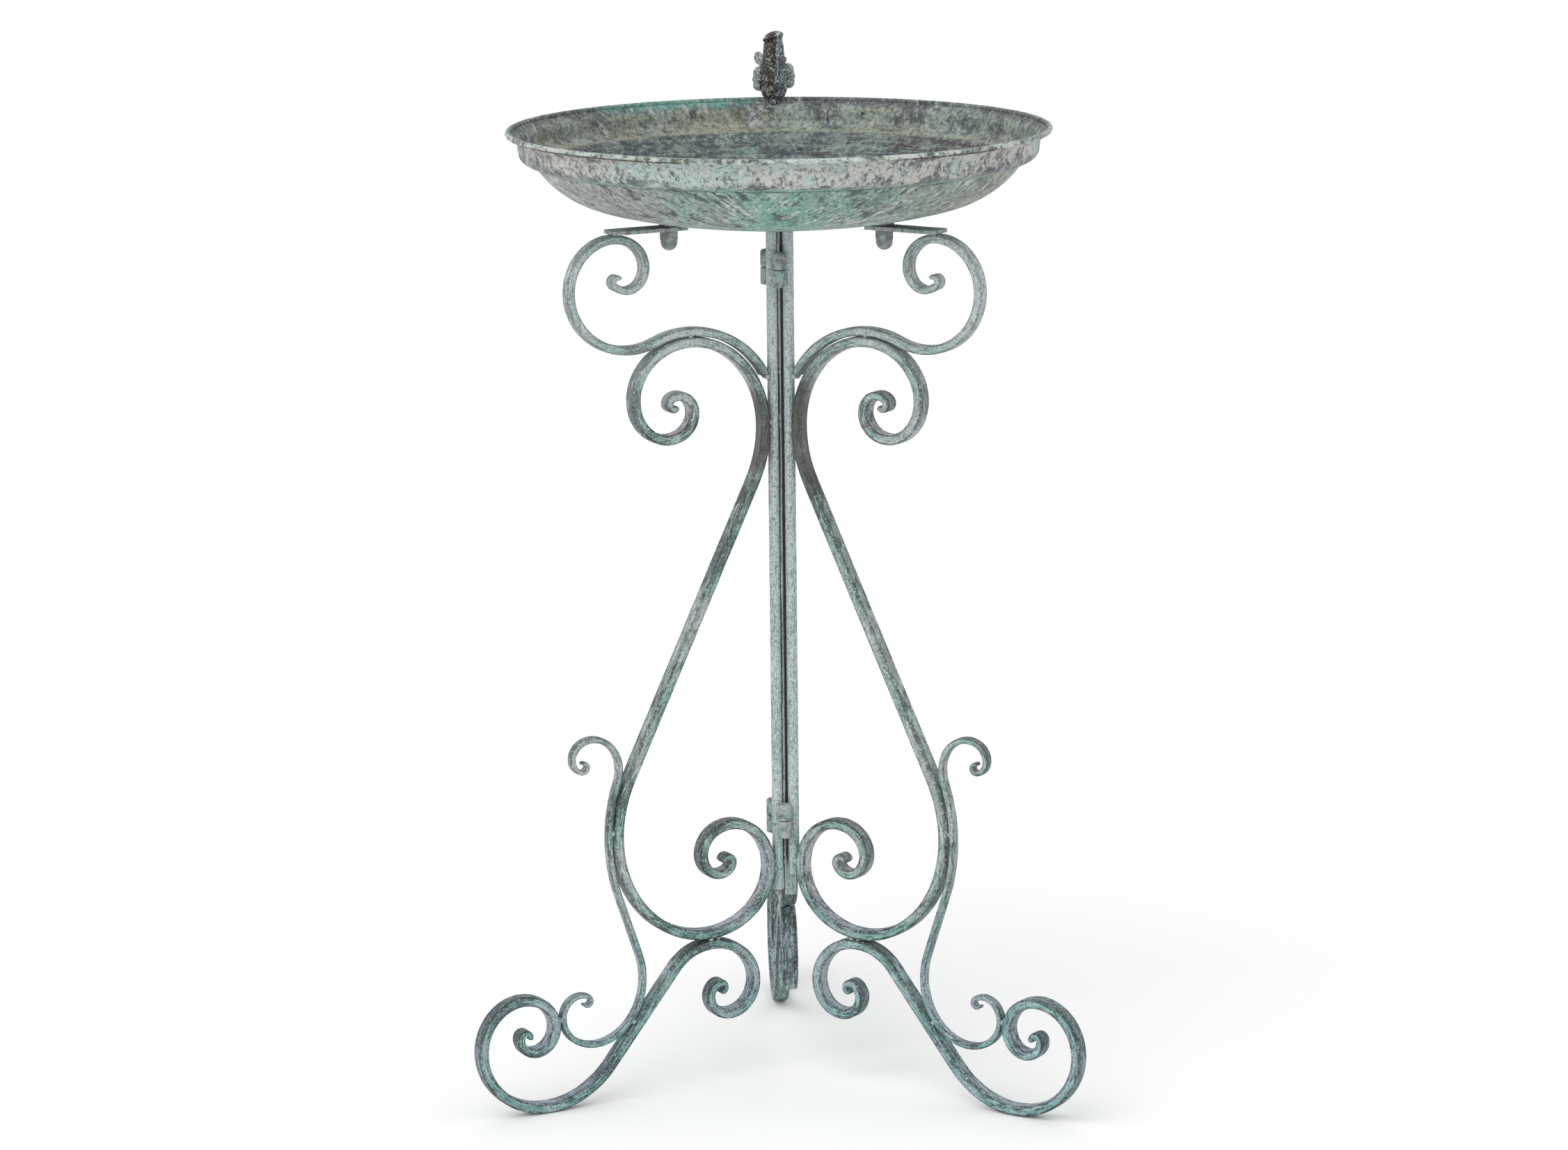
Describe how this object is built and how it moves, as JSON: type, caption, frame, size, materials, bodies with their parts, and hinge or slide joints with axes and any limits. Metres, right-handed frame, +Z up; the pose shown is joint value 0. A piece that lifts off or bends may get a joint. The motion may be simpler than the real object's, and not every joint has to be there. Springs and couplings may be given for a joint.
{
  "type": "bird bath",
  "caption": "Folding wrought-iron bird bath: stepped spun bowl with a rolled rim and a small perched bird, bolted on hinged scroll legs.",
  "frame": {"origin": "on the floor under the bowl's axis", "axes": "+Z up along the bowl's axis, the front faces -Y with one leg to each side, the back leg and the bird are towards +Y"},
  "size_m": [0.4624, 0.4688, 0.7918],
  "materials": {
    "verdigris_iron": "matt grey-green verdigris paint, mottled with turquoise and dark rubbed patches",
    "verdigris_sheet": "matt grey-green verdigris paint on spun sheet, streaked light and dark",
    "zinc_steel": "dull zinc-plated steel with a green bloom",
    "dark_casting": "dark slate-coloured casting with pale rubbed wings"
  },
  "bodies": {
    "stand": {"left_post": "verdigris_iron", "left_arm_scroll": "verdigris_iron", "left_main_scroll": "verdigris_iron", "left_foot_scroll": "verdigris_iron", "left_trim_scroll": "verdigris_iron", "left_tab": "verdigris_iron", "left_welds": "verdigris_iron", "front_upper_barrel_fixed": "verdigris_iron", "front_upper_pin": "zinc_steel", "front_lower_barrel_fixed": "verdigris_iron", "front_lower_pin": "zinc_steel", "side_upper_barrel_fixed": "verdigris_iron", "side_upper_pin": "zinc_steel", "side_lower_barrel_fixed": "verdigris_iron", "side_lower_pin": "zinc_steel", "bowl": "verdigris_sheet", "left_stud": "zinc_steel", "right_stud": "zinc_steel", "back_stud": "zinc_steel", "left_cap_nut": "zinc_steel", "right_cap_nut": "zinc_steel", "back_cap_nut": "zinc_steel", "bird_saddle": "dark_casting", "bird": "dark_casting"},
    "right_leg": {"right_post": "verdigris_iron", "right_arm_scroll": "verdigris_iron", "right_main_scroll": "verdigris_iron", "right_foot_scroll": "verdigris_iron", "right_trim_scroll": "verdigris_iron", "right_tab": "verdigris_iron", "right_welds": "verdigris_iron", "front_upper_barrel_moving": "verdigris_iron", "front_lower_barrel_moving": "verdigris_iron"},
    "back_leg": {"back_post": "verdigris_iron", "back_arm_scroll": "verdigris_iron", "back_main_scroll": "verdigris_iron", "back_foot_scroll": "verdigris_iron", "back_trim_scroll": "verdigris_iron", "back_tab": "verdigris_iron", "back_welds": "verdigris_iron", "side_upper_barrel_moving": "verdigris_iron", "side_lower_barrel_moving": "verdigris_iron"}
  },
  "joints": [
    {"name": "right_leg_fold", "type": "hinge", "parent": "stand", "child": "right_leg", "pos_m": [0, -0.0118, 0.418], "axis": [0, 0, -1], "range_deg": [0, 120]},
    {"name": "back_leg_fold", "type": "hinge", "parent": "stand", "child": "back_leg", "pos_m": [-0.01022, 0.0059, 0.418], "axis": [0, 0, 1], "range_deg": [0, 114]}
  ]
}
